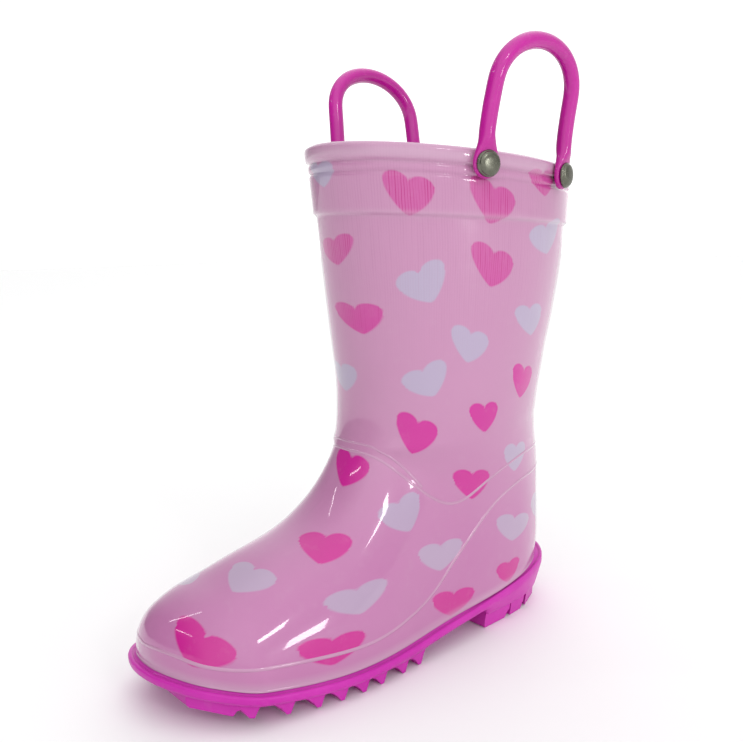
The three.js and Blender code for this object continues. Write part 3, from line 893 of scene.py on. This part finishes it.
# ---- Moulded beads on the shell ----
# The vamp line dips over each ankle bone; its double runs beside it over the instep. The
# counter line comes down from the back of the heel and goes round the toe as the foxing line.
VAMP_LINE = [
    (0, -16, 82.5), (9, -13, 82.5), (15, -10, 80.5), (20, -5, 74.5), (24, 2, 67.5), (26, 8, 62.5),
    (27, 15, 58.5), (27, 23, 59.5), (29, 34, 66.5), (29, 44, 70.5), (28, 55, 73.5), (22, 68, 73.5),
    (12, 77, 72.5), (0, 80, 72.5),
]
VAMP_DOUBLE = [(0, -15, 85.5), (9, -12, 85.5), (16, -8, 83), (20.5, -3, 76.5), (24.5, 3, 68.5)]
COUNTER_LINE = [
    (0, 81, 64.5), (12, 78, 64.5), (20, 72, 62.5), (26, 58, 62.5), (28, 48, 59.5), (28, 40, 56.5),
    (28, 33, 50.5), (27, 27, 45.5), (27, 21, 39.5), (28, 15, 35.5), (28, 9, 29.5), (28, 3, 25.5),
    (29, -4, 22.5), (30, -11, 20.5), (31, -22, 18), (31, -31, 17.5), (30, -48, 18.5), (28, -59, 19.5),
    (24, -73, 20.5), (14, -85, 21.5), (0, -92, 25),
]


def mirrored_loop(points):
    """Carries a half line on round the inner side, to where it began."""
    other = [(2 * float(middle(y)) - x, y, z) for x, y, z in reversed(points[1:-1])]
    return points + other


def surface_line(points, closed, skin, normals, lift):
    """A smooth line through rough points, laid on the skin."""
    rough = np.array(points, float)
    if closed:
        rough = np.vstack([rough, rough[:1]])
    run = run_along(rough)
    line = resample(rough, run, np.linspace(0, run[-1], int(run[-1] / 1.2) + 1))
    line = line[:-1] if closed else line

    def smooth(line, times):
        for _ in range(times):
            middle_way = (np.roll(line, 1, 0) + np.roll(line, -1, 0)) / 2
            if not closed:
                middle_way[0], middle_way[-1] = line[0], line[-1]
            line = (line + middle_way) / 2
        return line

    line = smooth(line, 30)
    for _ in range(2):
        for i, point in enumerate(line):
            nearest = int(np.argmin(((skin - point) ** 2).sum(1)))
            at, normal = skin[nearest], normals[nearest]
            line[i] = point - normal * ((point - at) @ normal - lift)
        line = smooth(line, 3)
    return line


def make_beads(material, skin, normals):
    tree = cord_tree("moulded_bead")
    double = [(-x, y, z) for x, y, z in reversed(VAMP_DOUBLE[1:])] + VAMP_DOUBLE
    lines = [
        ("vamp_bead", mirrored_loop(VAMP_LINE), True, 1.05),
        ("vamp_double_bead", double, False, 0.9),
        ("counter_and_foxing_bead", mirrored_loop(COUNTER_LINE), True, 1.15),
    ]
    for name, points, closed, radius in lines:
        path = surface_line(points, closed, skin, normals, -0.78 * radius)
        base = line_mesh(name + "_path", path, closed)
        bead = grow(name, base, tree, Radius=radius * MM, Sides=12, Finish=material)
        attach(bead, "boot")


# ---- Sock lining ----
def make_sock(material):
    steps = 110
    levels = even_levels(3, TOP_LEVEL - 1.2, 2.0)
    points = skin_grid(levels, steps)
    normals = grid_normals(points)
    inner = points - normals * (SHELL_WALL + SOCK_GAP + SOCK_WALL)
    outer = points - normals * (SHELL_WALL + SOCK_GAP)
    # The lowest ring's own normals lean, so it repeats the one above.
    inner[0], outer[0] = inner[1], outer[1]
    count = 2 * steps
    edge = (inner[-1] + outer[-1]) / 2 + np.array([0, 0, 0.5])
    rows = np.concatenate([inner, edge[None], outer[::-1]])
    faces = [tuple(reversed(face)) for face in ring_faces(len(rows), count)]
    faces += strip_cap(0, count, False)
    faces += strip_cap((len(rows) - 1) * count, count, True)
    sock = new_piece("sock_lining_knit", rows.reshape(-1, 3), faces)
    heights = np.concatenate([levels, [TOP_LEVEL], levels[::-1]])
    surface_map(sock, count, heights)
    fields = print_fields(points.reshape(-1, 3), normals.reshape(-1, 3))
    edge_field = np.full((1, count), FAR_OUTSIDE)
    faces_print = [field.reshape(len(levels), count) for field in fields]
    set_print(sock, *(np.concatenate([field, edge_field, field[::-1]]).ravel() for field in faces_print))
    add_material(sock, material)
    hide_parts("sock_lining")
    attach(sock, "boot")


# ---- Outsole ----
plate_foot = smooth_curve([
    (-98, LUG_DEPTH), (-10, LUG_DEPTH), (4, 6.5), (HEEL_BREAST - 2, 9), (HEEL_BREAST + 1, 6), (98, 6),
])
# How far the foot of the side wall stands from the sole's outline: it draws in at the heel.
wall_foot = smooth_curve([(-98, 0.6), (0, 0.4), (HEEL_BREAST, -0.6), (HEEL_END, -1.0)])
# Where each forefoot lug touches the ground, and the heel's blocks as middle and length.
LUG_TIPS = [-75.9, -63.6, -52.1, -42.6, -33.1, -24.6, -13.4, -4.5]
HEEL_BLOCKS = [(43.6, 14.2), (58.0, 8.8), (72.8, 13.4)]
TOE_BLOCK = (-85.6, 10.5)


def plate_height(y):
    return plate_foot(y) + toe_lift(y)


def sole_ring(distance, height, steps=200):
    """The sole's outline moved out by a distance, at a height; both are functions of y."""
    share = np.arange(steps + 1) / steps
    bend = (1 - np.cos(math.pi * share)) / 2
    y = TOE_END + (HEEL_END - TOE_END) * (0.75 * bend + 0.25 * share)
    width = sole_half_width(y)
    y = np.concatenate([y, y[-2:0:-1]])
    x = middle(y) + np.concatenate([width, -width[-2:0:-1]])
    normal = np.stack([np.roll(y, -1) - np.roll(y, 1), np.roll(x, 1) - np.roll(x, -1)])
    normal /= np.linalg.norm(normal, axis=0)
    out = distance(y)
    return np.stack([x + normal[0] * out, y + normal[1] * out, height(y)], 1)


def welt_ring(out, down):
    """A ring of the welt, by distance out and down; round the heel it draws in to the wall."""
    return sole_ring(
        lambda y: out - max(0, out - WALL_TOP) * 0.85 * smoothstep(15, 50, y),
        lambda y: feather_height(y) - 0.3 - down,
    )


def wall_ring(share):
    """A ring of the side wall, a share of the way from the welt down to the plate."""
    return sole_ring(
        lambda y: WALL_TOP + (wall_foot(y) - WALL_TOP) * share,
        lambda y: (feather_height(y) - 3.7) * (1 - share) + plate_height(y) * share,
    )


def foot_ring(inward, up):
    """A ring where the wall turns in under the plate."""
    return sole_ring(lambda y: wall_foot(y) - inward, lambda y: plate_height(y) + up)


def make_lug(name, profile):
    """A bar across the sole, two wide, with a side profile of (y, z) points."""
    columns = [-1, -0.96, -0.5, 0, 0.5, 0.96, 1]
    points = [(x, y, z) for x in columns for y, z in profile]
    count = len(profile)
    faces = [tuple(reversed(face)) for face in ring_faces(len(columns), count)]
    faces.append(tuple(range(count)))
    faces.append(tuple(reversed(range(len(points) - count, len(points)))))
    return new_piece(name, np.array(points) / MM, faces, smooth=False)


def make_outsole(material):
    welt = [
        (-2.2, 0.05), (0.25, 0.05), (0.5, 0.5), (0.9, 0.6), (1.3, 0.1), (1.6, 0), (2.3, 0.05),
        (2.7, 0.25), (2.88, 0.7), (2.9, 1.4), (2.88, 2.2), (2.7, 2.8), (2.35, 3.05), (WALL_TOP, 3.3),
    ]
    rings = [welt_ring(out, down) for out, down in welt]
    rings += [wall_ring(share) for share in (0.15, 0.4, 0.7, 0.9)]
    rings += [foot_ring(inward, up) for inward, up in ((0.1, 0.25), (0.6, 0), (3.5, 0))]
    count = len(rings[0])
    faces = [tuple(reversed(face)) for face in ring_faces(len(rings), count)]
    faces += strip_cap(0, count, False)
    faces += strip_cap((len(rings) - 1) * count, count, True)
    plate = new_piece("outsole_plate", np.concatenate(rings), faces)

    sweep = np.linspace(0, 1, 12)
    tooth = [(-6.9 + 6.2 * s, LUG_DEPTH * (1 - s**2.4)) for s in sweep]
    tooth += [(-0.4, 0), (0.5, 0), (0.8, 0.15), (1.5, 2.2), (2.2, 4.1), (2.7, LUG_DEPTH + 0.2)]
    tooth += [(2.7, LUG_DEPTH + 1.4), (-6.9, LUG_DEPTH + 1.4)]
    block = [
        (-0.53, 6.8), (-0.53, 3.4), (-0.515, 1.6), (-0.5, 0.5), (-0.47, 0), (0.44, 0), (0.48, 0.5),
        (0.51, 1.6), (0.55, 2.9), (0.62, 3.5), (0.62, 6.8),
    ]
    blocks = [(y, length, 1) for y, length in HEEL_BLOCKS] + [(*TOE_BLOCK, 0.75)]
    pieces = [plate]
    for title, profile, places in (
        ("teeth_row", tooth, [(y, 1, 1) for y in LUG_TIPS]), ("heel_row", block, blocks),
    ):
        row = scatter(
            title, make_lug(title + "_bar", profile), [(0, y, 0) for y, _, _ in places],
            [UP] * len(places), [(MM, length * MM, tall * MM) for _, length, tall in places], material,
        )
        wrap_to_sole(row)
        pieces.append(row)
    add_material(plate, material)
    sole = join_pieces("outsole_moulded", pieces)
    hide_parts("outsole")
    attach(sole, "boot")


def wrap_to_sole(row):
    """Stretches bars two wide to the sole's outline, and lifts them with the toe."""
    count = len(row.data.vertices)
    points = np.empty(count * 3)
    row.data.vertices.foreach_get("co", points)
    points = points.reshape(-1, 3) / MM
    y = np.clip(points[:, 1], TOE_END + 0.6, HEEL_END - 0.6)
    share = np.clip(points[:, 2] / plate_foot(y), 0, 1)
    inset = wall_foot(y) - 0.12 - (0.4 + 1.1 * smoothstep(20, 34, y)) * (1 - share)
    half = np.maximum(sole_half_width(y) + inset, 0.5)
    points[:, 0] = middle(y) + points[:, 0] * half
    points[:, 1] = y
    points[:, 2] += toe_lift(y)
    row.data.vertices.foreach_set("co", (points * MM).ravel())


def join_pieces(name, pieces):
    """One object from several, without their own objects."""
    whole = bmesh.new()
    for piece in pieces:
        whole.from_mesh(piece.data)
    mesh = bpy.data.meshes.new(name)
    whole.to_mesh(mesh)
    whole.free()
    mesh.materials.append(pieces[0].data.materials[0])
    mesh.polygons.foreach_set("material_index", [0] * len(mesh.polygons))
    for piece in pieces:
        bpy.data.objects.remove(piece)
    return add_object(name, mesh)


# ---- Rivets and handles ----
def skin_place(level, y, side):
    """A place on the skin at a level and y, with its outward normal."""

    def at(level, where):
        return np.array([
            side * np.interp(where, *level_line(level, 400)), where, float(skin_height(level, where)),
        ])

    along = at(level, y + 2) - at(level, y - 2)
    up = at(level, y) - at(level - 4, y)
    normal = np.cross(along, up)
    normal *= side * np.sign(normal[0]) / np.linalg.norm(normal)
    return at(level, y), normal


SIDES = {"lateral": 1, "medial": -1}
TAB_OFFSET = LIP_PROUD + 0.4 + TAB_THICK / 2
LEG_OFFSET = TAB_OFFSET + 0.6
CAP_FOOT = TAB_OFFSET + TAB_THICK / 2 + 0.05
HANDLE_LEAN = {"lateral": (6, 2.8), "medial": (4.7, 0.6)}
HANDLE_TAPER = 0.06
rivet_places = {
    (name, end): skin_place(TOP_LEVEL - RIVET_DROP, RIVET_MIDDLE + shift * RIVET_SPACING, side)
    for name, side in SIDES.items()
    for end, shift in (("front", -0.5), ("rear", 0.5))
}


def unit(vector):
    return vector / np.linalg.norm(vector)


def flex_point(place):
    point, normal = place
    return point + normal * LEG_OFFSET + UP * FLEX_RISE


def leg_line(place):
    """One leg from its tab's foot to the flex point: points with half width and half thickness."""
    point, normal = place
    across = unit(np.cross(UP, normal))
    upward = np.cross(normal, across)
    rows = []
    for turn in np.linspace(0.06, math.pi / 2, 9):
        height = -TAB_RADIUS * math.cos(turn)
        wide = TAB_RADIUS * math.sin(turn)
        thick = TAB_THICK / 2 * min(1, 0.45 + turn)
        rows.append((point + upward * height + normal * TAB_OFFSET, wide, thick))
    for height, wide, thick, away in (
        (1.6, 5.2, 1.3, 3.7), (3.2, 4.75, 1.4, 3.8), (4.8, 4.2, 1.7, 3.9), (6.4, 3.7, 2.2, 4.05),
        (8.0, 3.3, 2.7, 4.2),
    ):
        rows.append((point + upward * height + normal * away, wide, thick))
    return rows


def arch_points(side_name, start, end):
    """The loop's middle line from one flex point to the other: two straight legs and a bow."""
    rise = HANDLE_HEIGHT - FLEX_RISE
    straight = rise - ARCH_RISE
    lean_out, lean_back = HANDLE_LEAN[side_name]

    def at(across, height):
        narrow = 1 - HANDLE_TAPER * height / rise
        share = max(0, height / rise) ** 1.3
        lean = np.array([SIDES[side_name] * lean_out * share, lean_back * share, 0])
        return start + (end - start) * (0.5 + 0.5 * across * narrow) + UP * height + lean

    leg = np.linspace(0, straight, 8)[:-1]
    bow = np.linspace(0, math.pi, 41)
    return (
        [at(-1, height) for height in leg]
        + [at(-math.cos(turn), straight + ARCH_RISE * math.sin(turn) ** 0.9) for turn in bow]
        + [at(1, height) for height in leg[::-1]]
    )


def cord_rings(path, sizes, outward, count):
    """Sections along the handle's path, with half widths and half thicknesses."""
    tangent = np.gradient(path, axis=0)
    across = np.cross(tangent, outward)
    across /= np.linalg.norm(across, axis=1, keepdims=True)
    face = np.cross(across, tangent)
    face /= np.linalg.norm(face, axis=1, keepdims=True)
    angle = np.arange(count) * 2 * math.pi / count
    # A flat tab has a squarer section than the round cord, and a faint mould seam on its edge.
    square = np.clip((sizes[:, 0] / sizes[:, 1] - 1) / 1.5, 0, 1)[:, None]
    power = 1 - 0.4 * square

    def bulge(value):
        return np.sign(value) * np.abs(value) ** power

    seam = 1 + 0.035 * np.exp(-((np.abs(np.cos(angle)) - 1) / 0.006) ** 2)[None, :] * (1 - square)
    wide = sizes[:, :1] * bulge(np.cos(angle)[None, :]) * seam
    thick = sizes[:, 1:] * bulge(np.sin(angle)[None, :])
    return path[:, None] + across[:, None] * wide[..., None] + face[:, None] * thick[..., None]


def make_handle(side_name, material):
    front, rear = rivet_places[side_name, "front"], rivet_places[side_name, "rear"]
    start, end = flex_point(front), flex_point(rear)
    cord = [(point, CORD_RADIUS, CORD_RADIUS) for point in arch_points(side_name, start, end)]
    rows = leg_line(front) + cord + leg_line(rear)[::-1]
    path = np.array([row[0] for row in rows])
    sizes = np.array([row[1:] for row in rows])
    run = run_along(path)
    near_end = np.linspace(0, 9, 30)
    even = np.concatenate([near_end, np.linspace(9.5, run[-1] - 9.5, 190), run[-1] - near_end[::-1]])
    path, sizes = resample(path, run, even), resample(sizes, run, even)
    for _ in range(6):
        path[1:-1] = path[1:-1] / 2 + (path[:-2] + path[2:]) / 4
        sizes[2:-2] = sizes[2:-2] / 2 + (sizes[1:-3] + sizes[3:-1]) / 4
    share = (even / even[-1])[:, None]
    outward = front[1] * (1 - share) + rear[1] * share
    count = 32
    points = cord_rings(path, sizes, outward, count).reshape(-1, 3)
    faces = ring_faces(len(path), count)
    faces.append(tuple(reversed(range(count))))
    faces.append(tuple(range(len(points) - count, len(points))))
    name = f"{side_name}_handle"
    handle = new_piece(f"{name}_moulded", points, faces)
    fix_normals(handle)
    add_material(handle, material)
    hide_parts(f"{name}_loop", f"{name}_front_tab", f"{name}_rear_tab")
    # A short reach from the line through both flex points, for the cord's bend; nothing uses it, and the
    # cord is not bent.
    reach = unit(np.cross(unit(end - start), (1, 0, 0)))
    reach = reach * np.sign(reach[2]) * BEND_REACH
    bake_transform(handle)


def turned_piece(name, profile, segments=64):
    """Turned work on the Z axis from a profile of (radius, height), closed at both ends."""
    angle = np.arange(segments) * 2 * math.pi / segments
    points = np.array([
        (radius * c, radius * s, height)
        for radius, height in ((max(r, 0.02), z) for r, z in profile)
        for c, s in zip(np.cos(angle), np.sin(angle))
    ])
    faces = ring_faces(len(profile), segments)
    faces.append(tuple(reversed(range(segments))))
    faces.append(tuple(range(len(points) - segments, len(points))))
    return new_piece(name, points, faces)


def make_rivet_caps(material):
    rounded_edge = [
        (0.02, 0.1), (4.3, 0.1), (4.6, 0), (4.78, 0.15), (4.8, 0.5), (4.7, 0.85), (4.45, 1.1), (4.2, 1.2),
    ]
    dome = [
        (4.2 * math.cos(angle) ** 0.7, 1.2 + 1.2 * math.sin(angle) ** 0.8)
        for angle in np.linspace(0.1, 1, 12) * math.pi / 2
    ]
    profile = [(radius, CAP_FOOT + height) for radius, height in rounded_edge + dome]
    cap = turned_piece("cap", profile)
    points = [place[0] for place in rivet_places.values()]
    directions = [place[1] for place in rivet_places.values()]
    caps = scatter("rivet_caps", cap, points, directions, [(1, 1, 1)] * len(points), material)
    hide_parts(*(f"{name}_{end}_rivet_cap" for name, end in rivet_places))
    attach(caps, "boot")


# ---- Footbed ----
def bed_outline(inset):
    """The inside of the sock at the footbed's level, drawn in by an inset."""
    points = skin_grid([11.5, 12, 12.5], 90)
    return (points - grid_normals(points) * (SHELL_WALL + BED_GAP + SOCK_WALL + inset))[1]


def bed_piece(name, inset, low, high, material, ripple=0.0):
    """A soft layer with rounded edges, between two levels over the feather line."""
    ring = bed_outline(inset)
    half, columns = len(ring) // 2, 28
    right = ring[: half + 1]
    left = ring[[(-i) % len(ring) for i in range(half + 1)]]
    u = np.sin(np.linspace(-math.pi / 2, math.pi / 2, columns + 1))
    v = np.linspace(-1, 1, half + 1)
    across = (u[None, :, None] + 1) / 2
    flat = left[:, None] * (1 - across) + right[:, None] * across
    thick = (high - low) / 2
    full = (1 - np.abs(u[None, :]) ** 6) ** (1 / 6) * (1 - np.abs(v[:, None]) ** 24) ** (1 / 6)
    base = feather_height(flat[..., 1]) + (low + high) / 2
    wave = ripple * np.sin(flat[..., 1] * 0.9) * np.sin(flat[..., 0] * 0.9)
    top, bottom = flat.copy(), flat.copy()
    top[..., 2] = base + full * (thick + wave)
    bottom[..., 2] = base - full * thick
    rows, wide = half + 1, columns + 1
    points = np.concatenate([top.reshape(-1, 3), bottom.reshape(-1, 3)])
    quads = ring_faces(rows, wide, closed=False)
    faces = quads + [tuple(rows * wide + k for k in reversed(quad)) for quad in quads]
    piece = new_piece(name, points, faces)
    fix_normals(piece)
    add_material(piece, material)
    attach(piece, "boot")
    return piece, ring


def make_footbed(foam, cloth, thread):
    pad, _ = bed_piece("footbed_foam_pad", 1.4, 7.2, 11.2, foam)
    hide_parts("footbed_foam")
    cover, ring = bed_piece("footbed_cloth_cover", 2.4, 11.3, 12.2, cloth, 0.06)
    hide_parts("footbed_cloth")
    stitches = make_stitches(thread)
    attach(stitches, "boot")


def make_stitches(thread):
    """A run of small stitches just inside the edge of the footbed cloth."""
    ring = bed_outline(4.6)
    closed = np.vstack([ring, ring[:1]])
    run = run_along(closed)
    points = resample(closed, run, np.arange(0, run[-1] - 1.5, 2.9))
    points[:, 2] = feather_height(points[:, 1]) + 12.12
    ahead = np.roll(points, -1, 0) - np.roll(points, 1, 0)
    profile = [(0.22 * math.sin(a), -1.0 * math.cos(a)) for a in np.linspace(0, math.pi, 9)]
    stitch = turned_piece("stitch", profile, 10)
    return scatter("footbed_stitches", stitch, points, ahead, [(1, 1, 1)] * len(points), thread)


def paint_cad(material, slot_nodes):
    for node in slot_nodes:
        piece = bpy.data.objects[node]
        for slot in piece.material_slots:
            slot.material = material


# ---- The scene ----
make_camera_and_floor()
make_lights()
ribs = knit_ribs_group()
dust = speckle_group()
shell_skin, shell_normals = make_shell(shell_material(ribs, dust))
make_beads(bead_material(), shell_skin, shell_normals)
make_sock(knit_material(ribs))
make_outsole(moulded_material(
    "magenta_outsole", rgb(224, 74, 194), rgb(212, 62, 182), 0.42, dust, 0.15,
))
handle_finish = moulded_material(
    "handle_moulding", rgb(212, 20, 170), rgb(200, 14, 160), 0.32, dust, 0.7,
)
for side_name in SIDES:
    make_handle(side_name, handle_finish)
nickel = nickel_material()
make_rivet_caps(nickel)
paint_cad(nickel, [
    f"{name}_{end}_rivet_{part}" for name, end in rivet_places for part in ("post", "washer")
])
paint_cad(board_material(), ["insole_board"])
make_footbed(foam_material(), weave_material(), moulded_material(
    "stitch_thread", rgb(235, 215, 228), rgb(220, 190, 212), 0.8, dust, 0.0, 1500.0, 0.0001,
))
